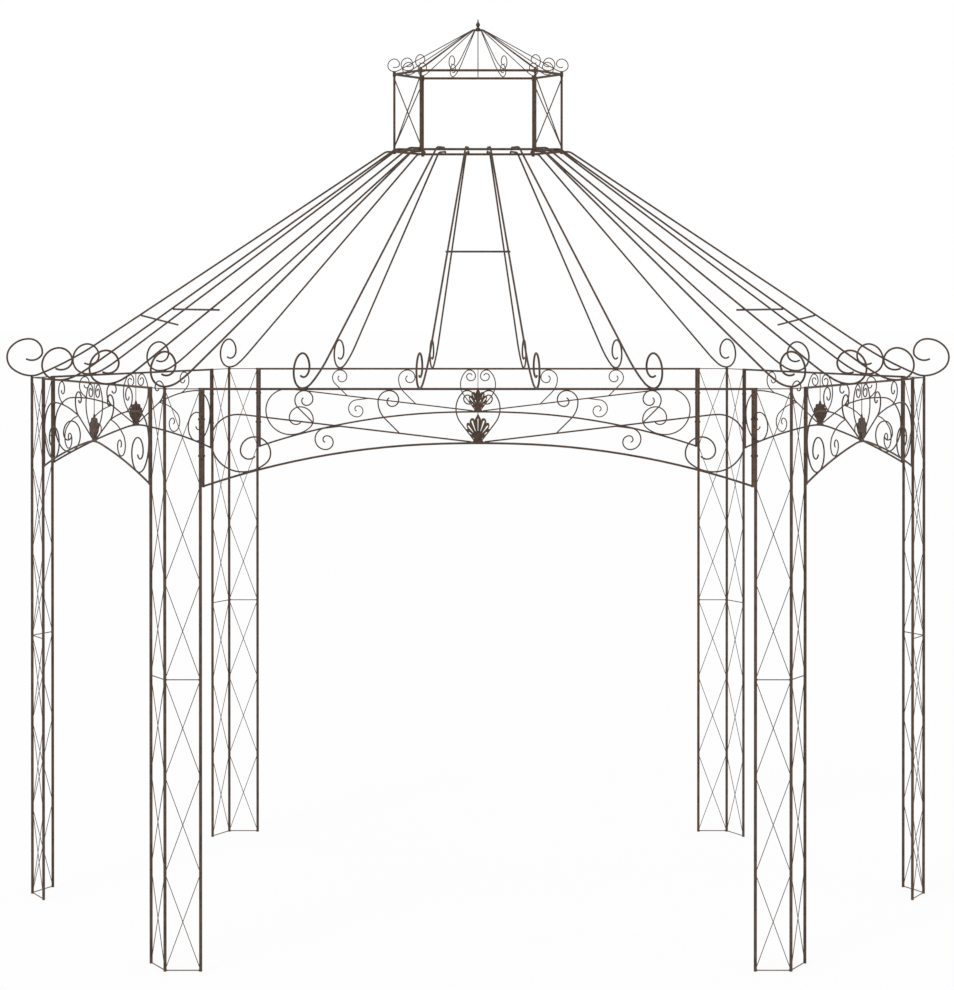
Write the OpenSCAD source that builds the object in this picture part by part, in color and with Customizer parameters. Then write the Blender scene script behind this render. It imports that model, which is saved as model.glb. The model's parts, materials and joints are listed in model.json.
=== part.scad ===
// Six-sided garden gazebo of bent and welded round bar: lattice posts, scrollwork arches,
// roof ribs that end in scrolls, and a small lantern with its own scrolled roof.
// Millimetres, +Z up. The origin is on the ground under the middle of the plan.

/* [Plan] */
// Long side, front and back, from corner to corner
long_side = 2370; // [1900:10:3200]
// Short side, each of the other four, from corner to corner
short_side = 1440; // [1150:10:1900]
// Height of the eave: the top of the rails and posts
eave_h = 2210; // [1800:10:2800]

/* [Posts] */
// Width of each of a post's two lattice wings, between bar centres
wing = 135; // [100:5:200]
// Diameter of the post uprights
upright_d = 12; // [8:1:20]
// Diameter of the three cross braces of a wing
brace_d = 4; // [3:1:10]
// Diameter of the lattice wires
wire_d = 3; // [2.5:0.5:6]
// Crossings of the lattice above and below a wing's middle brace
crossings = 3; // [2:1:5]

/* [Arches] */
// Diameter of the arch panels' top rails
rail_d = 9; // [8:1:14]
// Diameter of the arch bars
arch_d = 8; // [6:1:14]
// Diameter of the uprights at the two ends of an arch panel
end_d = 10; // [9:1:14]
// Drop from the rail's centre to the ends of the arches
spring_drop = 368; // [300:4:440]
// Drop from the rail's centre to the crown of a long arch
long_crown_drop = 205; // [180:5:230]
// Drop from the rail's centre to the crown of a short arch
short_crown_drop = 235; // [210:5:260]

/* [Scrollwork] */
// Diameter of the stems that run from the shell to the ends of an arch
stem_d = 6; // [4:0.5:8]
// Diameter of the scrolls that branch off the stems
scroll_d = 5; // [3:0.5:7]

/* [Roof] */
// Diameter of the roof ribs
rib_d = 8; // [6:1:12]
// Height of the lantern's lower ring, at the bar centre
ring_h = 3170; // [2900:10:3600]
// Long side of the lantern's rings
ring_long = 480; // [400:10:600]
// Short side of the lantern's rings
ring_short = 234; // [200:2:300]
// Diameter of the ring bars
ring_d = 10; // [8:1:14]
// Height of the scroll at the foot of each roof rib, between bar centres
scroll_h = 134; // [100:2:180]
// Height of the larger scrolls at the two middle corners
end_scroll_h = 157; // [120:1:200]

/* [Lantern] */
// Height between the lantern's two rings, at the bar centres
lantern_h = 330; // [260:10:420]
// Rise of the lantern's roof above its upper ring
lantern_rise = 190; // [140:10:240]
// Diameter of the lantern's ribs
lantern_rib_d = 4; // [3:0.5:7]
// Height of the scroll at the foot of each lantern rib
small_scroll_h = 54; // [40:2:70]

/* [Hidden] */
// Running gap between pieces that rest on each other
seat = 0.3;
// Every second length of a bent bar is this much thicker, and the next length starts inside it
nest = 0.06;
// How far a length of bent bar runs into the thicker length beside it
lap = 0.25;
ROUND = 24;
SIDES = ["front", "front_right", "back_right", "back", "back_left", "front_left"];
CORNERS = ["front_left", "front_right", "mid_right", "back_right", "back_left", "mid_left"];
// Places of the ribs along a side, as shares of its length, at the rail and at the ring. The short
// sides count from the middle corner
LONG_RIBS = [[0.228, 0.163], [0.41, 0.4], [0.59, 0.6], [0.772, 0.837]];
SHORT_RIBS = [[0.3, 0.22], [0.655, 0.72]];

rail_z = eave_h - rail_d / 2;
panel_gap = (upright_d + end_d) / 2 + seat;
// Height of a scroll's centre line where the scroll is welded to the rail
rail_touch = rail_z - (rail_d + scroll_d) / 2 + 1;
iron = [0.30, 0.23, 0.19];

function is_long(i) = i % 3 == 0;
function side_length(i) = is_long(i) ? long_side : short_side;
function ring_length(i) = is_long(i) ? ring_long : ring_short;
// Corner i of a six-sided plan with 120 degree corners; side i runs from it at 60 * i degrees
function plan_corner(i, long, short) = let (k = i % 6)
    k == 0 ? [-long / 2, -short * sin(60)]
    : k == 1 ? [long / 2, -short * sin(60)]
    : k == 2 ? [long / 2 + short / 2, 0]
    : -plan_corner(k - 3, long, short);
function eave_corner(i) = plan_corner(i, long_side, short_side);
function ring_corner(i) = plan_corner(i, ring_long, ring_short);
function along(a, b, t) = a + (b - a) * t;

// ---- Bent bar: lengths are [straight] or [radius, turn], and left turns are positive ----
function moved(at, s) = len(s) == 1
    ? [at.x + s[0] * cos(at.z), at.y + s[0] * sin(at.z), at.z]
    : let (k = sign(s[1]), h = at.z + s[1])
        [at.x + s[0] * k * (sin(h) - sin(at.z)), at.y + s[0] * k * (cos(at.z) - cos(h)), h];
function trail(at, steps, i = 0) = i == len(steps) ? [at]
    : concat([at], trail(moved(at, steps[i]), steps, i + 1));

module bent_length(step, d, over) {
    if (len(step) == 1)
        translate([-over, 0, 0]) rotate([0, 90, 0]) cylinder(d = d, h = step[0] + 2 * over, $fn = ROUND);
    else {
        extra = over / step[0] * 180 / PI;
        mirror([0, step[1] < 0 ? 1 : 0, 0]) translate([0, step[0], 0]) rotate([0, 0, -90 - extra])
            rotate_extrude(angle = abs(step[1]) + 2 * extra, $fn = 72)
                translate([step[0], 0]) circle(d = d, $fn = ROUND);
    }
}

// A bar in the XY plane that starts at at = [x, y, heading]
module bent_bar(d, at, steps) {
    places = trail(at, steps);
    for (i = [0:len(steps) - 1])
        translate([places[i].x, places[i].y, 0]) rotate([0, 0, places[i].z])
            bent_length(steps[i], d + (i % 2) * nest, (1 - i % 2) * lap);
}

module upright_plane() rotate([90, 0, 0]) children();

module strut(a, b, d, sides) {
    v = b - a;
    translate(a) rotate([0, acos(v.z / norm(v)), atan2(v.y, v.x)]) cylinder(d = d, h = norm(v), $fn = sides);
}

// ---- Slopes: a straight that leaves a bend of radius r and ends run away and rise lower ----
function slope_length(run, rise, r) = sqrt(run * run + (rise - r) * (rise - r) - r * r);
function slope_angle(run, rise, r) =
    atan2(rise - r, run) + atan2(r, slope_length(run, rise, r));

// ---- Posts ----
module wing_lattice() {
    top = eave_h - brace_d;
    bottom = brace_d;
    bay = (top - bottom) / (2 * crossings);
    for (z = [bottom, (top + bottom) / 2, top]) strut([0, 0, z], [wing, 0, z], brace_d, ROUND);
    for (k = [0:2 * crossings - 1]) {
        z = bottom + k * bay;
        strut([0, 0, z], [wing, 0, z + bay], wire_d, 6);
        strut([wing, 0, z], [0, 0, z + bay], wire_d, 6);
    }
    translate([wing, 0, 0]) cylinder(d = upright_d, h = eave_h, $fn = ROUND);
}

module post(i) color(iron) translate(eave_corner(i)) {
    cylinder(d = upright_d, h = eave_h, $fn = ROUND);
    rotate([0, 0, 60 * i]) wing_lattice();
    rotate([0, 0, 60 * i + 120]) wing_lattice();
}

// ---- Arch panels, drawn in the XY plane with Y up and the crown of the arch at X = 0 ----
function panel_half(i) = side_length(i) / 2 - wing - panel_gap;
function crown_z(i) = rail_z - (is_long(i) ? long_crown_drop : short_crown_drop);
spring_z = rail_z - spring_drop;

// The arc that leaves from = [x, y, heading] and ends at the point to
function closing_arc(from, to) = let (
        chord = norm([to.x - from.x, to.y - from.y]),
        turn = 2 * (atan2(to.y - from.y, to.x - from.x) - from.z))
    [chord / (2 * sin(abs(turn) / 2)), turn];

module half_arch(i) {
    start = [0, crown_z(i), 0];
    lead = is_long(i) ? [5000, -1.6] : [400, -10];
    bent_bar(arch_d, start, [lead, closing_arc(moved(start, lead), [panel_half(i), spring_z])]);
}

// Adds the straight that lifts the top of a scroll to the rail
function to_rail(at, bends) = let (top = max([for (p = trail(at, bends)) p.y]))
    concat([[max(5, (rail_touch - top) / sin(at.z))]], bends);

module scroll_bar(at, steps) bent_bar(scroll_d, at, steps);
module rail_scroll(at, bends) bent_bar(scroll_d, at, to_rail(at, bends));

// ---- Long panel: one stem from the shell to a curl in the corner, with three scrolls off it ----
LONG_CURL = [[99, -90], [118, -90], [140, -40], [49, -50], [62, -90], [52, -90], [32, -90], [30, -50]];
INNER_UP = [[90, 45], [43, 90], [35, 90], [25, 90], [19, 90], [14, 70]];
DOWN = [[60], [41, -84], [40, -90], [28, -90], [24, -90], [14, -90], [10, -80]];
OUTER_UP = [[40, 46], [36, 90], [32, 90], [24, 90], [18, 90], [12, 60]];

module long_scrollwork(half, crown) {
    run = half - 152;
    rise = 103.5;
    r = 300;
    a = slope_angle(run, rise, r);
    start = [24, crown + 5, a];
    bent_bar(stem_d, start, concat([[slope_length(run, rise, r)], [r, -a]], LONG_CURL));
    rail_scroll(moved(start, [0.309 * run]) + [0, 0, 38], INNER_UP);
    scroll_bar(moved(start, [0.564 * run]) - [0, 0, 14], DOWN);
    rail_scroll(moved(start, [0.679 * run]) + [0, 0, 38], OUTER_UP);
}

// ---- Short panel: a main line to a fork, from which a scroll, the stem and a down scroll part ----
SHORT_STEM = [[34], [900, -16], [112, -90], [140, -45], [85, -45], [70, -90], [64, -90], [50, -90],
    [32, -90], [24, -70]];
FORK_UP = [[68, 61], [38, 90], [28, 90], [16, 90], [14, 75]];
FORK_DOWN = [[30], [260, -26], [52, -52], [42, -90], [38, -90], [24, -90], [16, -90], [12, -70]];
STEM_UP = [[105, 25], [42, 45], [38, 90], [30, 90], [20, 90], [16, 85]];

module short_scrollwork(half, crown) {
    start = [24, crown + 13];
    fork = [half - 400, crown + 96];
    a = atan2(fork.y - start.y, fork.x - start.x);
    bent_bar(stem_d, [start.x, start.y, a], concat([[norm(fork - start)]], FORK_UP));
    bent_bar(stem_d, [fork.x, fork.y, 16], SHORT_STEM);
    scroll_bar([fork.x, fork.y, -12], FORK_DOWN);
    on_stem = moved(moved([fork.x, fork.y, 16], SHORT_STEM[0]), [900, -8.6]);
    rail_scroll([on_stem.x, on_stem.y, 20], STEM_UP);
}

LYRE = [[88, 82], [24, 46], [29, 90], [22, 90], [20, 90], [14, 90], [13, 70]];
SHORT_LYRE = [[105, 80], [23, 46], [29, 90], [22, 90], [20, 90], [14, 90], [13, 70]];

// ---- Shell: a palmette of seven slotted lobes on a spread foot, from the arch bar up ----
shell_t = 5;
shell_neck = 18;
shell_tip = 112;
lobe_step = 19;
// Reach of the lobes from the neck, by angle from upright
LOBE_REACH = [[0, 84], [19, 80], [38, 70], [57, 52], [67, 41]];

// Reach of the scalloped edge at an angle: full at the middle of a lobe, less between two lobes
function edge_reach(a) = let (off = 2 * (a / lobe_step - round(a / lobe_step)))
    lookup(abs(a), LOBE_REACH) * (0.84 + 0.16 * sqrt(1 - 0.97 * off * off))
        + max(0, 5 - abs(a)) / 5 * (shell_tip - shell_neck - LOBE_REACH[0][1]);

module shell_plate() {
    foot = [for (t = [0:0.125:1]) [15 + 14 * pow(1 - t, 2), shell_neck * t]];
    polygon(concat(foot,
        [for (a = [66.5:-1.9:-66.5]) [0, shell_neck] + edge_reach(a) * [sin(a), cos(a)]],
        [for (k = [len(foot) - 1:-1:0]) [-foot[k].x, foot[k].y]]));
}

// A slot along a lobe, from = distance from the neck, that widens outwards
module slot(from, to, w) polygon([
    [-0.8, from], [0.8, from], [w, to - 4], [0.6 * w, to], [-0.6 * w, to], [-w, to - 4]]);

module heart() polygon([for (t = [0:12:348]) [15.5 * pow(sin(t), 3),
    shell_neck + 8 + 12.5 * cos(t) - 4.8 * cos(2 * t) - 1.9 * cos(3 * t) - cos(4 * t)]]);

module shell(i) translate([0, crown_z(i), 0]) {
    difference() {
        translate([0, 0, -shell_t / 2]) linear_extrude(shell_t) shell_plate();
        for (k = [-3:3]) translate([0, shell_neck, -shell_t]) rotate(-lobe_step * k)
            linear_extrude(2 * shell_t)
                slot(29, lookup(lobe_step * abs(k), LOBE_REACH) - 9, k == 0 ? 1.4 : 2.8);
    }
    translate([0, 0, -shell_t / 2 - 2]) linear_extrude(shell_t + 4) heart();
    bent_bar(3.4, [0, shell_tip - 8, 90], [[rail_z - crown_z(i) - shell_tip + 8]]);
}

module arch_half(i) {
    half = panel_half(i);
    crown = crown_z(i);
    half_arch(i);
    translate([half, spring_z - arch_d / 2]) rotate([-90, 0, 0])
        cylinder(d = end_d, h = spring_drop + (arch_d + rail_d) / 2, $fn = ROUND);
    if (is_long(i)) long_scrollwork(half, crown);
    else short_scrollwork(half, crown);
    rail_scroll([14, crown + 10, is_long(i) ? 52.5 : 54], is_long(i) ? LYRE : SHORT_LYRE);
}

module arch_panel(i) color(iron) translate(along(eave_corner(i), eave_corner(i + 1), 0.5))
    rotate([0, 0, 60 * i]) upright_plane() {
        arch_half(i);
        mirror([1, 0, 0]) arch_half(i);
        translate([-panel_half(i), rail_z, 0]) rotate([0, 90, 0])
            cylinder(d = rail_d, h = 2 * panel_half(i), $fn = ROUND);
        shell(i);
    }

// ---- Ribs, drawn in the XY plane with Y up and the bar of the ring they start from at the origin ----
// A set of bends: top bend, flare above the foot, foot, and the slope at which the foot starts
ROOF_BENDS = [40, 700, 150, 29];
END_BENDS = [40, 1400, 75, 22];
LANTERN_BENDS = [20, 240, 40, 28];
// The scroll from its lowest point: radii as shares of its height, and turns
SCROLL = [[0.585, 31], [0.433, 60], [0.538, 77], [0.412, 88], [0.276, 68], [0.381, 63]];
END_SCROLL = [[0.83, 39], [0.413, 89], [0.63, 56], [0.356, 90], [0.135, 33], [0.325, 81]];
// An intermediate rib lies over the ring, runs this far inside it and ends in a small turned-down tip
hook_in = 44;
tip_r = 6;
tip_leg = 6;
// Level length of a rib outside the ring
level_out = 6;
corner_level = 16;
// How far beyond the rail the lowest point of an intermediate rib lies
foot_out = 39;
socket_d = ring_d + 4;
socket_h = 20;

function scroll(shape, h) = [for (s = shape) [s[0] * h, s[1]]];

// How far a foot that bottoms out beyond a bar clears that bar's centre, for centres apart
function foot_lift(apart, out, bends) = sqrt(pow(bends[2] + apart, 2) - out * out) - bends[2];

// From a level start to a level lowest point, run away and rise below, and on into the scroll
function rib_steps(run, rise, flat, bends, scroll) =
    let (g = bends[3],
        x = run - flat + (bends[1] - bends[2]) * sin(g),
        z = rise + (bends[1] - bends[2]) * (1 - cos(g)),
        r = bends[0] + bends[1],
        a = slope_angle(x, z, r))
    concat([[flat], [bends[0], -a], [slope_length(x, z, r)], [bends[1], a - g], [bends[2], g]], scroll);

// A roof rib is [place on the ring, place on the eave, over the ring or not, bends, scroll]
function corner_rib(i) = let (ends = [ring_corner(i), eave_corner(i)])
    i % 3 == 2 ? [ends[0], ends[1], false, END_BENDS, scroll(END_SCROLL, end_scroll_h)]
    : [ends[0], ends[1], false, ROOF_BENDS, scroll(SCROLL, scroll_h)];
function rib_share(i, k) = is_long(i) ? LONG_RIBS[k] : i % 3 == 2 ? SHORT_RIBS[k] : [1, 1] - SHORT_RIBS[1 - k];
function side_rib(i, k) = let (t = rib_share(i, k))
    [along(ring_corner(i), ring_corner(i + 1), t[1]), along(eave_corner(i), eave_corner(i + 1), t[0]),
        true, ROOF_BENDS, scroll(SCROLL, scroll_h)];
function over_ring(rib) = rib[2] ? (ring_d + rib_d) / 2 + seat : 0;
function level_from(rib) = rib[2] ? -hook_in : socket_d / 2 + seat;
function rib_start(rib) = rib[2] ? [-hook_in - tip_r, over_ring(rib) - tip_r - tip_leg, 90]
    : [level_from(rib), 0, 0];
function rib_line(rib) = let (
        out = rib[2] ? foot_out : 0,
        lift = foot_lift((rail_d + rib_d) / 2 + seat, out, rib[3]),
        run = norm(rib[1] - rib[0]) + out - level_from(rib),
        rise = ring_h + over_ring(rib) - rail_z - lift,
        flat = rib[2] ? hook_in + level_out : corner_level)
    concat(rib[2] ? [[tip_leg], [tip_r, -90]] : [], rib_steps(run, rise, flat, rib[3], rib[4]));
function rib_turn(rib) = atan2(rib[1].y - rib[0].y, rib[1].x - rib[0].x);

module roof_rib(rib) color(iron) translate([rib[0].x, rib[0].y, ring_h]) rotate([0, 0, rib_turn(rib)])
    upright_plane() bent_bar(rib_d, rib_start(rib), rib_line(rib));

// Start of a rib's straight in its own plane, the point on it at a share of the height between
// rail and ring, and its direction
function straight_from(rib) = trail(rib_start(rib), rib_line(rib))[rib[2] ? 4 : 2];
function rib_point(rib, share) = let (
        top = straight_from(rib),
        y = -(1 - share) * (ring_h - rail_z),
        out = top.x + (top.y - y) / tan(-top.z))
    [rib[0].x + out * cos(rib_turn(rib)), rib[0].y + out * sin(rib_turn(rib)), ring_h + y];
function rib_direction(rib) = let (a = straight_from(rib).z)
    [cos(rib_turn(rib)) * cos(a), sin(rib_turn(rib)) * cos(a), sin(a)];

// How far straight down a bar along line must lie to clear a rib by the running gap
function clear_drop(rib, line) = let (n = cross(rib_direction(rib), line))
    (rib_d + seat) * norm(n) / abs(n.z);

// Crossbars: [side, first rib, its share, second rib, its share, length past the second rib]
CROSSBARS = [
    [0, side_rib(0, 1), 0.56, side_rib(0, 2), 0.56, 10],
    [1, side_rib(1, 1), 0.316, side_rib(1, 0), 0.316, 55],
    [2, corner_rib(2), 0.285, side_rib(2, 0), 0.25, 90],
    [4, corner_rib(5), 0.285, side_rib(4, 1), 0.25, 90],
    [5, side_rib(5, 0), 0.316, side_rib(5, 1), 0.316, 55]];

// A short bar under two neighbouring ribs
module crossbar(bar) {
    ends = [rib_point(bar[1], bar[2]), rib_point(bar[3], bar[4])];
    line = (ends[1] - ends[0]) / norm(ends[1] - ends[0]);
    a = ends[0] - line * 10 - [0, 0, clear_drop(bar[1], line)];
    b = ends[1] + line * bar[5] - [0, 0, clear_drop(bar[3], line)];
    color(iron) strut(a, b, rib_d, ROUND);
}

// ---- Lantern ----
module ring(z) color(iron) for (i = [0:5]) {
    a = ring_corner(i);
    b = ring_corner(i + 1);
    strut([a.x, a.y, z], [b.x, b.y, z], ring_d, ROUND);
    translate([a.x, a.y, z - socket_h / 2]) cylinder(d = socket_d, h = socket_h, $fn = ROUND);
}

// Three uprights on the ring's sockets, with crossed braces in the two short sides between them
module lantern_side(first) {
    foot = ring_h + socket_h / 2;
    head = ring_h + lantern_h - socket_h / 2;
    inset = 8;
    color(iron) for (i = [first:first + 2]) {
        c = ring_corner(i);
        translate([c.x, c.y, foot]) cylinder(d = ring_d, h = head - foot, $fn = ROUND);
        if (i < first + 2) {
            n = ring_corner(i + 1);
            strut([c.x, c.y, foot + inset], [n.x, n.y, head - inset], scroll_d, 8);
            strut([c.x, c.y, head - inset], [n.x, n.y, foot + inset], scroll_d, 8);
        }
    }
}

hub_d = 20;
hub_h = 12;
spoke_in = 4;
lantern_level = 12;
apex_z = ring_h + lantern_h + lantern_rise;

// Feet of the lantern's ribs: every corner, and the places along each side
function lantern_feet() = [for (i = [0:5]) each concat([[ring_corner(i), true]],
    [for (t = is_long(i) ? [0.275, 0.5, 0.725] : [0.5]) [along(ring_corner(i), ring_corner(i + 1), t), false]])];

module lantern_roof() color(iron) {
    translate([0, 0, apex_z - hub_h / 2]) cylinder(d = hub_d, h = hub_h, $fn = 48);
    for (f = lantern_feet()) {
        start = hub_d / 2 - spoke_in;
        lift = (f[1] ? socket_h / 2 : ring_d / 2) + lantern_rib_d / 2 + seat;
        rotate([0, 0, atan2(f[0].y, f[0].x)]) translate([start, 0, apex_z]) upright_plane()
            bent_bar(lantern_rib_d, [0, 0, 0],
                rib_steps(norm(f[0]) - start, lantern_rise - lift, lantern_level, LANTERN_BENDS,
                    scroll(SCROLL, small_scroll_h)));
    }
}

// A turned bud with a pointed tip
module finial() color(iron) translate([0, 0, apex_z + hub_h / 2]) rotate_extrude($fn = 48) polygon(concat(
    [[0, 0], [7, 0], [7, 3], [3.5, 6]],
    [for (a = [-50:20:50]) [2 + 7 * cos(a), 15 + 9 * sin(a)]],
    [[2.6, 28], [3.4, 31], [0, 42]]));

for (i = [0:5]) {
    post(i);
    arch_panel(i);
    roof_rib(corner_rib(i));
    for (k = [0:is_long(i) ? 3 : 1])
        roof_rib(side_rib(i, k));
}
for (b = CROSSBARS)
    crossbar(b);
ring(ring_h);  // lantern_base_ring
lantern_side(4);  // lantern_side_left
lantern_side(1);  // lantern_side_right
ring(ring_h + lantern_h);  // lantern_eave_ring
lantern_roof();
finial();
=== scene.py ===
"""A wrought iron garden gazebo: the finishes, bolts, weld beads and stage round its frame."""

import json
import math

import bmesh
import bpy
from bpy.props import FloatProperty, FloatVectorProperty, IntProperty, PointerProperty
from bpy.types import Operator, Panel, PropertyGroup
from mathutils import Matrix, Vector


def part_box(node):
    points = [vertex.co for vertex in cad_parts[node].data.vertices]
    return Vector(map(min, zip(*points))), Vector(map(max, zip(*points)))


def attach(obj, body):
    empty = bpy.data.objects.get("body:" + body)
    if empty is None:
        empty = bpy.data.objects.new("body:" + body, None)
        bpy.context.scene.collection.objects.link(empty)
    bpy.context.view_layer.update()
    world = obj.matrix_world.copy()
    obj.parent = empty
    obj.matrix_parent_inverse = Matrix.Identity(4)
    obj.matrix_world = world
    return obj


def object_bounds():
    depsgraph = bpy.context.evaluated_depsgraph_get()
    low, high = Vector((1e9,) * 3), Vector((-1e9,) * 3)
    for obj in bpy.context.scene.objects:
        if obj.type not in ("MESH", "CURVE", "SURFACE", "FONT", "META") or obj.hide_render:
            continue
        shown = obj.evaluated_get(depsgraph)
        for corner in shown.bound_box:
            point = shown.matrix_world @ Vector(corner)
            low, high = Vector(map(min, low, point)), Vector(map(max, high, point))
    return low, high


bl_info = {
    "name": "Garden Gazebo",
    "version": (1, 0, 0),
    "blender": (4, 5, 0),
    "location": "View3D > Sidebar > Gazebo",
    "description": "Finishes, weld beads, bolts and a studio stage for an iron garden gazebo",
    "category": "Add Mesh",
}

BODY = "root"
SIDES = ("front", "front_right", "back_right", "back", "back_left", "front_left")
CORNERS = ("front_left", "front_right", "mid_right", "back_right", "back_left", "mid_left")

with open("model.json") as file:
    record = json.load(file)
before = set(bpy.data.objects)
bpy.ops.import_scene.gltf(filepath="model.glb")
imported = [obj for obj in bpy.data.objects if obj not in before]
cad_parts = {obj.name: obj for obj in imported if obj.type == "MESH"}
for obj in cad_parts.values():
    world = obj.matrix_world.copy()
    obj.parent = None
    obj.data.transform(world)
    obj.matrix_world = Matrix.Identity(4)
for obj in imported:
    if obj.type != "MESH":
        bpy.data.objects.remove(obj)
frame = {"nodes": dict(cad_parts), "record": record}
cad_low, cad_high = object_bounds()
NODES = frame["nodes"]
FEET = {m["name"][5:]: Vector(m["pos_m"]) for m in frame["record"]["mounts"]}
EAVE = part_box("post_front_left")[1].z


def corner(i):
    """The plan position of post i, counted anticlockwise from the front left."""
    return FEET[CORNERS[i % 6]].copy()


# ---- Sizes and colours that a user would change ----


class GazeboFinish(PropertyGroup):
    """The antique brown paint on every bar."""

    paint: FloatVectorProperty(
        name="Paint", description="Colour of the antique brown paint", subtype="COLOR",
        size=3, min=0, max=1, default=(0.081, 0.046, 0.0275))
    rubbed: FloatVectorProperty(
        name="Rubbed paint", description="Colour of the copper brown rubbed through the paint",
        subtype="COLOR", size=3, min=0, max=1, default=(0.154, 0.086, 0.052))
    shade: FloatVectorProperty(
        name="Dark paint", description="Colour of the darkest patches", subtype="COLOR",
        size=3, min=0, max=1, default=(0.030, 0.018, 0.013))
    mottle: FloatProperty(
        name="Mottle size", description="Size of the paint's patches", unit="LENGTH",
        min=0.002, max=0.5, default=0.028)
    grain: FloatProperty(
        name="Grain size", description="Size of the powder coat's dimples", unit="LENGTH",
        min=0.0004, max=0.02, default=0.0018)
    roughness: FloatProperty(
        name="Roughness", description="How matt the paint is", subtype="FACTOR",
        min=0, max=1, default=0.52)


class GazeboHardware(PropertyGroup):
    """The bolts and weld beads that hold the bars together."""

    wing: FloatProperty(
        name="Wing width", description="Width of a post's lattice wing, between bar centres",
        unit="LENGTH", min=0.1, max=0.2, default=0.135)
    upright: FloatProperty(
        name="Upright", description="Diameter of the uprights", unit="LENGTH",
        min=0.008, max=0.02, default=0.012)
    brace: FloatProperty(
        name="Brace", description="Diameter of the bars across a post's wings",
        unit="LENGTH", min=0.002, max=0.012, default=0.004)
    panel_end: FloatProperty(
        name="Panel end", description="Diameter of the bars at the two ends of an arch panel",
        unit="LENGTH", min=0.006, max=0.02, default=0.010)
    bolt_head: FloatProperty(
        name="Bolt head", description="Width of a bolt's domed head", unit="LENGTH",
        min=0.006, max=0.02, default=0.0085)
    bolts: IntProperty(
        name="Bolts", description="Bolts at each end of an arch panel", min=1, max=4, default=2)
    rail: FloatProperty(
        name="Rail", description="Diameter of the rails round the eave", unit="LENGTH",
        min=0.005, max=0.02, default=0.009)
    bead: FloatProperty(
        name="Weld bead", description="How far a weld bead stands out from its bar",
        unit="LENGTH", min=0.0005, max=0.004, default=0.0016)


class GazeboStage(PropertyGroup):
    """The floor, lamps and camera."""

    lens: FloatProperty(
        name="Lens", description="Focal length of the camera", unit="CAMERA",
        min=20, max=300, default=92.6)
    distance: FloatProperty(
        name="Distance", description="From the middle of the gazebo to the camera",
        unit="LENGTH", min=4, max=30, default=10.873)
    height: FloatProperty(
        name="Eye height", description="Height of the camera above the floor",
        unit="LENGTH", min=0.2, max=6, default=2.5775)
    tilt: FloatProperty(
        name="Tilt", description="How far the camera looks down", subtype="ANGLE",
        min=-0.5, max=0.5, default=0.0064)
    lift: FloatProperty(
        name="Vertical shift", description="Vertical shift of the camera's frame",
        min=-0.3, max=0.3, default=-0.19)
    sky: FloatProperty(
        name="Sky", description="Strength of the even light from all round", min=0, max=4,
        default=0.72)
    sun: FloatProperty(
        name="Key lamp", description="Strength of the soft key lamp", min=0, max=10,
        default=1.1)


# ---- Materials ----


class Nodes:
    """A few shorthand calls for building a node tree."""

    def __init__(self, tree):
        self.tree = tree
        self.column = 0

    def add(self, kind, **sockets):
        node = self.tree.nodes.new(kind)
        node.location = (self.column * 190, -160 * (self.column % 3))
        self.column += 1
        for name, value in sockets.items():
            self.feed(node, name.replace("_", " "), value)
        return node

    def feed(self, node, name, value):
        """Links or sets an input, given by its name or its place in the list."""
        socket = node.inputs[name]
        if isinstance(value, bpy.types.NodeSocket):
            self.tree.links.new(value, socket)
        else:
            socket.default_value = value


def new_group(name, inputs, outputs):
    """An empty shader node group with (name, kind, default) inputs and (name, kind) outputs."""
    group = bpy.data.node_groups.new(name, "ShaderNodeTree")
    for label, kind, default in inputs:
        socket = group.interface.new_socket(name=label, in_out="INPUT", socket_type=kind)
        socket.default_value = default
    for label, kind in outputs:
        group.interface.new_socket(name=label, in_out="OUTPUT", socket_type=kind)
    n = Nodes(group)
    return group, n, n.add("NodeGroupInput").outputs, n.add("NodeGroupOutput")


def noise(n, place, scale, detail=3.0, rough=0.5):
    node = n.add("ShaderNodeTexNoise", Vector=place, Scale=scale, Detail=detail, Roughness=rough)
    return node.outputs["Fac"]


def ramp(n, value, low, high):
    """Value mapped from low..high to 0..1, with soft ends."""
    node = n.add("ShaderNodeMapRange", Value=value, From_Min=low, From_Max=high)
    node.interpolation_type = "SMOOTHSTEP"
    return node.outputs["Result"]


def maths(n, operation, a, b):
    node = n.add("ShaderNodeMath")
    node.operation = operation
    n.feed(node, 0, a)
    n.feed(node, 1, b)
    return node.outputs[0]


# The colour sockets of a Mix node, which has others of the same names
MIX_A, MIX_B, MIX_RESULT = 6, 7, 2


def mix(n, factor, a, b):
    node = n.add("ShaderNodeMix")
    node.data_type = "RGBA"
    n.feed(node, 0, factor)
    n.feed(node, MIX_A, a)
    n.feed(node, MIX_B, b)
    return node.outputs[MIX_RESULT]


COLOUR, NUMBER, VECTOR = "NodeSocketColor", "NodeSocketFloat", "NodeSocketVector"
SPECKS_PER_PATCH = 9
DARKEST = 0.75  # share of the dark paint in the middle of a dark patch
DIMPLE_SHARE = 0.35  # depth of the dimples against that of the hammer marks
HAMMER_MARKS = 70  # per metre
GLOSS_OF_RUBBED, METAL_OF_RUBBED = 0.2, 0.5


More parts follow.
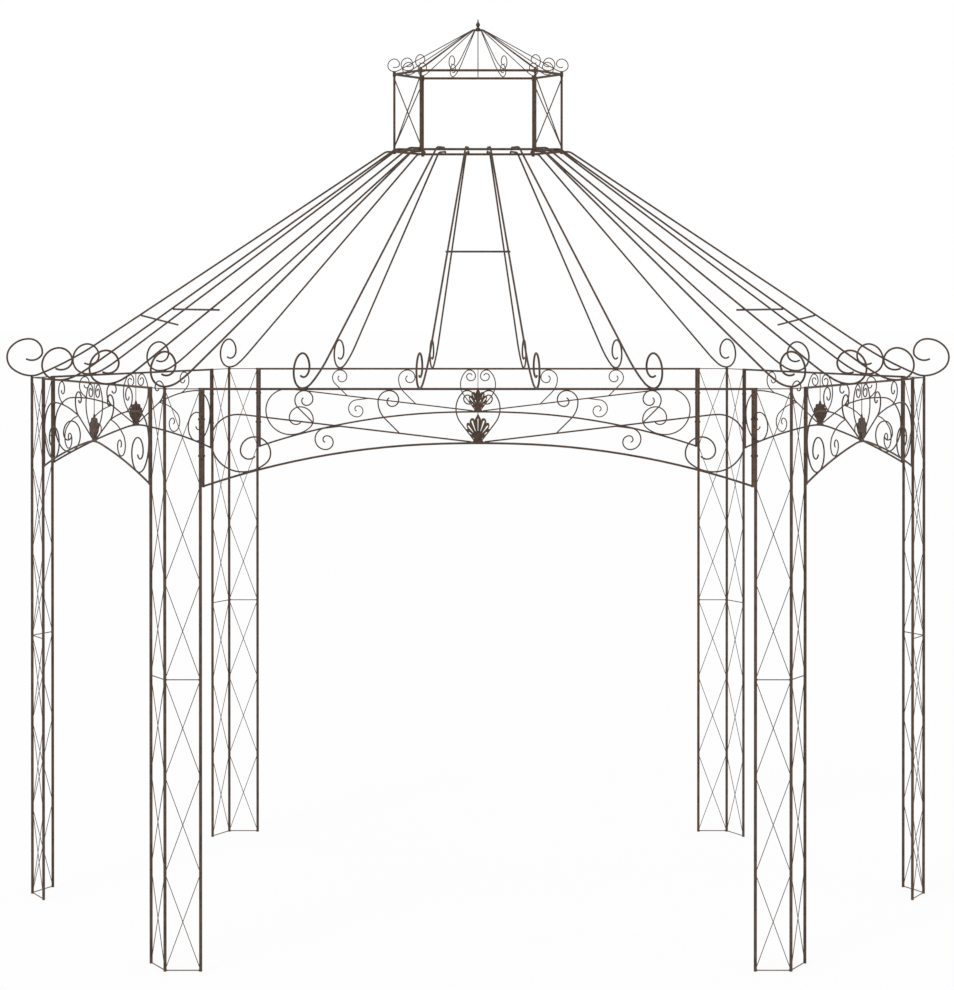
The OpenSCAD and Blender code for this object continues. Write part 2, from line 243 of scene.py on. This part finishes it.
def mottle_group():
    """Brown paint in three tones: dark patches, the body colour and copper rubbed through."""
    group, n, given, out = new_group(
        "Antique Mottle",
        [("Place", VECTOR, (0, 0, 0)), ("Paint", COLOUR, (0.1, 0.06, 0.04, 1)),
         ("Rubbed", COLOUR, (0.16, 0.09, 0.05, 1)), ("Dark", COLOUR, (0.05, 0.04, 0.03, 1)),
         ("Patches per metre", NUMBER, 20), ("Rubbing", NUMBER, 0.5)],
        [("Colour", COLOUR), ("Rubbed mask", NUMBER)])
    patches = noise(n, given["Place"], given["Patches per metre"], 4, 0.6)
    speck_scale = maths(n, "MULTIPLY", given["Patches per metre"], SPECKS_PER_PATCH)
    speck = noise(n, given["Place"], speck_scale, 2, 0.5)
    dark = ramp(n, patches, 0.56, 0.36)
    rubbed = maths(n, "MULTIPLY", ramp(n, speck, 0.52, 0.68), given["Rubbing"])
    colour = mix(n, maths(n, "MULTIPLY", dark, DARKEST), given["Paint"], given["Dark"])
    n.feed(out, "Colour", mix(n, rubbed, colour, given["Rubbed"]))
    n.feed(out, "Rubbed mask", rubbed)
    return group


def coat_group():
    """The dimpled skin of powder coat over bar that was hammered and bent."""
    group, n, given, out = new_group(
        "Powder Coat",
        [("Place", VECTOR, (0, 0, 0)), ("Dimples per metre", NUMBER, 500),
         ("Hammer marks per metre", NUMBER, 60), ("Hammering", NUMBER, 0.5)],
        [("Height", NUMBER)])
    dimples = noise(n, given["Place"], given["Dimples per metre"], 1, 0.4)
    blows = noise(n, given["Place"], given["Hammer marks per metre"], 1, 0.4)
    blows = maths(n, "MULTIPLY", blows, given["Hammering"])
    n.feed(out, "Height", maths(n, "ADD", maths(n, "MULTIPLY", dimples, DIMPLE_SHARE), blows))
    return group


# Each slot's rubbing, hammering and shade of paint
IRONS = (("posts", 0.40, 0.4, 1.0), ("arches", 0.50, 0.8, 0.86),
         ("roof", 0.45, 0.6, 0.86), ("lantern", 0.45, 0.6, 0.9))


def iron(name, finish, groups, rubbing, hammering, shade):
    """One painted iron: the same coat, rubbed, hammered and shaded more or less."""
    material = bpy.data.materials.new(name)
    material.use_nodes = True
    material.diffuse_color = (*finish.paint, 1)
    n = Nodes(material.node_tree)
    shader = n.tree.nodes["Principled BSDF"]
    place = n.add("ShaderNodeTexCoord").outputs["Object"]
    paints = [(*(channel * shade for channel in colour), 1)
              for colour in (finish.paint, finish.rubbed, finish.shade)]
    paint = n.add("ShaderNodeGroup")
    paint.node_tree = groups[0]
    for label, value in (
            ("Place", place), ("Paint", paints[0]), ("Rubbed", paints[1]), ("Dark", paints[2]),
            ("Patches per metre", 1 / finish.mottle), ("Rubbing", rubbing)):
        n.feed(paint, label, value)
    coat = n.add("ShaderNodeGroup")
    coat.node_tree = groups[1]
    for label, value in (
            ("Place", place), ("Dimples per metre", 1 / finish.grain),
            ("Hammer marks per metre", HAMMER_MARKS), ("Hammering", hammering)):
        n.feed(coat, label, value)
    bump = n.add("ShaderNodeBump", Strength=0.35, Distance=0.0006, Height=coat.outputs["Height"])
    gloss = maths(n, "SUBTRACT", finish.roughness + 0.04,
                  maths(n, "MULTIPLY", paint.outputs["Rubbed mask"], GLOSS_OF_RUBBED))
    n.feed(shader, "Base Color", paint.outputs["Colour"])
    n.feed(shader, "Roughness", gloss)
    metal = maths(n, "MULTIPLY", paint.outputs["Rubbed mask"], METAL_OF_RUBBED)
    n.feed(shader, "Metallic", metal)
    n.feed(shader, "Normal", bump.outputs["Normal"])
    n.feed(shader, "Specular IOR Level", 0.3)
    return material


def iron_for(slot):
    return bpy.data.materials[f"iron_{slot}"]


class GAZEBO_OT_finish(Operator):
    """Paints every bar with the procedural iron finish of its slot"""

    bl_idname = "gazebo.finish"
    bl_label = "Paint the frame"

    def execute(self, context):
        finish = context.scene.gazebo_finish
        groups = mottle_group(), coat_group()
        for slot, rubbing, hammering, shade in IRONS:
            iron(f"iron_{slot}", finish, groups, rubbing, hammering, shade)
        for part in frame["record"]["subparts"]:
            node = NODES[part["node"]]
            node.data.materials.clear()
            node.data.materials.append(iron_for(part["material_slot"]))
            node.data.shade_smooth()
        return {"FINISHED"}


# ---- Bolts and weld beads ----

# Half section of a domed bolt head, from its foot in the bar to its socket
HEAD = ((0, -0.18), (0.5, -0.18), (0.5, 0.1), (0.45, 0.2), (0.34, 0.27), (0.21, 0.29),
        (0.18, 0.26), (0.18, 0.1), (0, 0.1))
# The same of a thin nut with its outer edges turned off
NUT = ((0, -0.2), (0.55, -0.2), (0.55, 0.24), (0.53, 0.282), (0.481, 0.3), (0, 0.3))
HEAD_STEPS, NUT_SIDES = 20, 6
MERGE = 1e-5  # over the rounding of places 2 m from the origin, under the smallest edge
BOLT_MARGIN = 0.05  # the length without bolts at the top and bottom of a panel's end
NEAR = 0.02  # a rib further than this from a bar isn't welded to it
STEP = 0.002  # between the points tried along a bar
NUGGET = 2.2  # radius of a weld lump, in beads
BEAD_LENGTH = 2.4  # how far a bead runs along its bar, in beads


def aim(at, direction):
    """The matrix that puts a shape made along Z at a point, pointing in a direction."""
    return Matrix.Translation(at) @ direction.to_track_quat("Z", "Y").to_matrix().to_4x4()


def finished_piece(bm, name, slot):
    """Closes a bmesh into an object that rides on the frame, painted as its slot."""
    bmesh.ops.remove_doubles(bm, verts=bm.verts, dist=MERGE)
    bmesh.ops.recalc_face_normals(bm, faces=bm.faces)
    mesh = bpy.data.meshes.new(name)
    bm.to_mesh(mesh)
    bm.free()
    mesh.materials.append(iron_for(slot))
    piece = bpy.data.objects.new(name, mesh)
    bpy.context.collection.objects.link(piece)
    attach(piece, BODY)
    return piece


def lathe(bm, at, direction, width, section, steps):
    """Spins a half section, of (radius, height) pairs as shares of a width, about an axis."""
    place = aim(at, direction)
    verts = [bm.verts.new(place @ Vector((radius * width, 0, high * width)))
             for radius, high in section]
    edges = [bm.edges.new(pair) for pair in zip(verts, verts[1:])]
    bmesh.ops.spin(bm, geom=verts + edges, cent=at, axis=direction, dvec=(0, 0, 0),
                   angle=math.tau, steps=steps, use_merge=True)


class GAZEBO_OT_bolts(Operator):
    """Adds the bolts and thin nuts that hold each arch panel to its two posts"""

    bl_idname = "gazebo.bolts"
    bl_label = "Add the panel bolts"

    def execute(self, context):
        sizes = context.scene.gazebo_hardware
        for i, side in enumerate(SIDES):
            low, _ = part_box(f"arch_{side}")
            bm = bmesh.new()
            for start, end in ((corner(i), corner(i + 1)), (corner(i + 1), corner(i))):
                inward = (end - start).normalized()
                for k in range(sizes.bolts):
                    share = (k + 0.5) / sizes.bolts
                    z = low.z + BOLT_MARGIN + share * (EAVE - low.z - 2 * BOLT_MARGIN)
                    upright = start + inward * sizes.wing + Vector((0, 0, z))
                    panel = upright + inward * (sizes.upright / 2 + sizes.panel_end)
                    lathe(bm, panel, inward, sizes.bolt_head, HEAD, HEAD_STEPS)
                    lathe(bm, upright - inward * sizes.upright / 2, -inward,
                          sizes.bolt_head, NUT, NUT_SIDES)
            finished_piece(bm, f"bolts_{side}", "arches")
        return {"FINISHED"}


def bead(bm, at, along, bar, stand):
    """A small weld fillet: a collar that flares from a bar onto what it meets."""
    bmesh.ops.create_cone(
        bm, cap_ends=True, segments=10, radius1=bar + stand, radius2=bar * 0.98,
        depth=stand * BEAD_LENGTH, matrix=aim(at + along * stand * (BEAD_LENGTH / 2), along))


def crossing(node, start, end):
    """Where a node comes nearest to a straight bar from start to end, or None if it isn't near."""
    steps = int((end - start).length / STEP)
    best = (NEAR, None)
    for k in range(steps + 1):
        at = start.lerp(end, k / steps)
        found, near, _, _ = node.closest_point_on_mesh(at)
        if found and (near - at).length < best[0]:
            best = ((near - at).length, near)
    return best[1]


def bar_ends(node):
    """The middles of the two end faces of a straight round bar."""
    points = [v.co for v in node.data.vertices]
    low = Vector([min(p[a] for p in points) for a in range(3)])
    high = Vector([max(p[a] for p in points) for a in range(3)])
    axis = max(range(3), key=lambda a: high[a] - low[a])
    middle = (low[axis] + high[axis]) / 2
    return [sum(part, Vector()) / len(part) for part in (
        [p for p in points if p[axis] < middle], [p for p in points if p[axis] > middle])]


def nugget(bm, at, size):
    """The lump of weld in the corners where one bar lies over another."""
    bmesh.ops.create_icosphere(
        bm, subdivisions=2, radius=size,
        matrix=Matrix.Translation(at) @ Matrix.Diagonal((1, 1, 0.7, 1)))


class GAZEBO_OT_welds(Operator):
    """Adds the weld beads at the posts' braces and where ribs lie on rails and crossbars"""

    bl_idname = "gazebo.welds"
    bl_label = "Add the weld beads"

    def execute(self, context):
        sizes = context.scene.gazebo_hardware
        radius = sizes.upright / 2
        for i, name in enumerate(CORNERS):
            bm = bmesh.new()
            start = corner(i)
            for other in (corner(i + 1), corner(i - 1)):
                out = (other - start).normalized()
                for z in (sizes.brace, EAVE / 2, EAVE - sizes.brace):
                    brace = start + Vector((0, 0, z))
                    for reach, along in ((radius, out), (sizes.wing - radius, -out)):
                        bead(bm, brace + out * reach, along, sizes.brace / 2, sizes.bead)
            finished_piece(bm, f"welds_post_{name}", "posts")
        ribs = [n for name, n in NODES.items() if name.startswith("rib_")]
        rail = Vector((0, 0, EAVE - sizes.rail / 2))
        for i, side in enumerate(SIDES):
            bars = [(corner(i) + rail, corner(i + 1) + rail)]
            if f"crossbar_{side}" in NODES:
                bars.append(bar_ends(NODES[f"crossbar_{side}"]))
            bm = bmesh.new()
            for start, end in bars:
                for rib in ribs:
                    at = crossing(rib, start, end)
                    if at:
                        nugget(bm, at, sizes.bead * NUGGET)
            finished_piece(bm, f"welds_roof_{side}", "roof")
        return {"FINISHED"}


# ---- Stage ----

FLOOR_HALF_WIDTH = 150
FLOOR_DROP = 0.001  # keeps the floor out of the feet's lowest faces
FLOOR_COLOUR, FLOOR_WHITENESS = (0.86, 0.86, 0.86), 0.9
FILL_SHARE = 0.35  # strength of the fill lamp against the key lamp
SENSOR = 36


def seen_directly(n):
    """1 where the camera, a reflection or a transmitted ray sees the surface, else 0."""
    ray = n.add("ShaderNodeLightPath").outputs
    return maths(n, "MAXIMUM", ray["Is Camera Ray"],
                 maths(n, "MAXIMUM", ray["Is Glossy Ray"], ray["Is Transmission Ray"]))


def pale(name, colour, see_white):
    """A plain pale surface that the camera and reflections see as white."""
    material = bpy.data.materials.new(name)
    material.use_nodes = True
    n = Nodes(material.node_tree)
    tree = n.tree
    shader = tree.nodes["Principled BSDF"]
    n.feed(shader, "Base Color", (*colour, 1))
    n.feed(shader, "Roughness", 0.9)
    glow = n.add("ShaderNodeEmission", Color=(1, 1, 1, 1), Strength=1.0)
    blend = n.add("ShaderNodeMixShader")
    for place, value in enumerate((
            maths(n, "MULTIPLY", seen_directly(n), see_white), shader.outputs[0],
            glow.outputs[0])):
        n.feed(blend, place, value)
    n.feed(tree.nodes["Material Output"], "Surface", blend.outputs[0])
    return material


def lamp(name, kind, at, aim_at, energy, size):
    data = bpy.data.lights.new(name, kind)
    data.energy = energy
    if kind == "AREA":
        data.size = size
    else:
        data.angle = size
    light = bpy.data.objects.new(name, data)
    light.location = at
    light.rotation_euler = (Vector(aim_at) - Vector(at)).to_track_quat("-Z", "Y").to_euler()
    bpy.context.collection.objects.link(light)


class GAZEBO_OT_stage(Operator):
    """Adds the pale floor, the soft lamps, the even sky and the camera"""

    bl_idname = "gazebo.stage"
    bl_label = "Set the stage"

    def execute(self, context):
        stage = context.scene.gazebo_stage
        bm = bmesh.new()
        bmesh.ops.create_grid(bm, x_segments=1, y_segments=1, size=FLOOR_HALF_WIDTH)
        mesh = bpy.data.meshes.new("floor")
        bm.to_mesh(mesh)
        bm.free()
        floor = bpy.data.objects.new("floor", mesh)
        floor.location.z = cad_low.z - FLOOR_DROP
        mesh.materials.append(pale("pale_floor", FLOOR_COLOUR, FLOOR_WHITENESS))
        bpy.context.collection.objects.link(floor)

        world = context.scene.world or bpy.data.worlds.new("studio")
        context.scene.world = world
        world.use_nodes = True
        n = Nodes(world.node_tree)
        sky = world.node_tree.nodes["Background"]
        n.feed(sky, "Color", (1, 1, 1, 1))
        white = maths(n, "MULTIPLY", seen_directly(n), 1 - stage.sky)
        n.feed(sky, "Strength", maths(n, "ADD", stage.sky, white))

        lamp("key", "SUN", (-4, -6, 9), (0, 0, 1), stage.sun, math.radians(14))
        lamp("fill", "SUN", (6, -5, 4), (0, 0, 1), stage.sun * FILL_SHARE, math.radians(40))

        data = bpy.data.cameras.new("camera")
        data.lens = stage.lens
        data.sensor_width = SENSOR
        data.shift_x = -0.001
        data.shift_y = stage.lift
        data.clip_end = 400
        camera = bpy.data.objects.new("camera", data)
        camera.location = (0, -stage.distance, stage.height)
        camera.rotation_euler = (math.pi / 2 - stage.tilt, 0, 0)
        bpy.context.collection.objects.link(camera)
        context.scene.camera = camera
        context.scene.view_settings.view_transform = "Standard"
        return {"FINISHED"}


class GAZEBO_PT_panel(Panel):
    """Lists the gazebo's steps and sizes"""

    bl_idname = "GAZEBO_PT_panel"
    bl_label = "Garden Gazebo"
    bl_space_type = "VIEW_3D"
    bl_region_type = "UI"
    bl_category = "Gazebo"

    def draw(self, context):
        for group, operators in STEPS:
            box = self.layout.box()
            settings = getattr(context.scene, group)
            for name in settings.__annotations__:
                box.prop(settings, name)
            for operator in operators:
                box.operator(operator.bl_idname)


GROUPS = {"gazebo_finish": GazeboFinish, "gazebo_hardware": GazeboHardware,
          "gazebo_stage": GazeboStage}
STEPS = (("gazebo_finish", (GAZEBO_OT_finish,)),
         ("gazebo_hardware", (GAZEBO_OT_bolts, GAZEBO_OT_welds)),
         ("gazebo_stage", (GAZEBO_OT_stage,)))
CLASSES = (*GROUPS.values(), *(o for _, ops in STEPS for o in ops), GAZEBO_PT_panel)


def register():
    for cls in CLASSES:
        bpy.utils.register_class(cls)
    for name, cls in GROUPS.items():
        setattr(bpy.types.Scene, name, PointerProperty(type=cls))


def unregister():
    for name in GROUPS:
        delattr(bpy.types.Scene, name)
    for cls in reversed(CLASSES):
        bpy.utils.unregister_class(cls)


def main():
    register()
    bpy.ops.gazebo.finish()
    bpy.ops.gazebo.bolts()
    bpy.ops.gazebo.welds()
    bpy.ops.gazebo.stage()


if __name__ == "__main__":
    main()
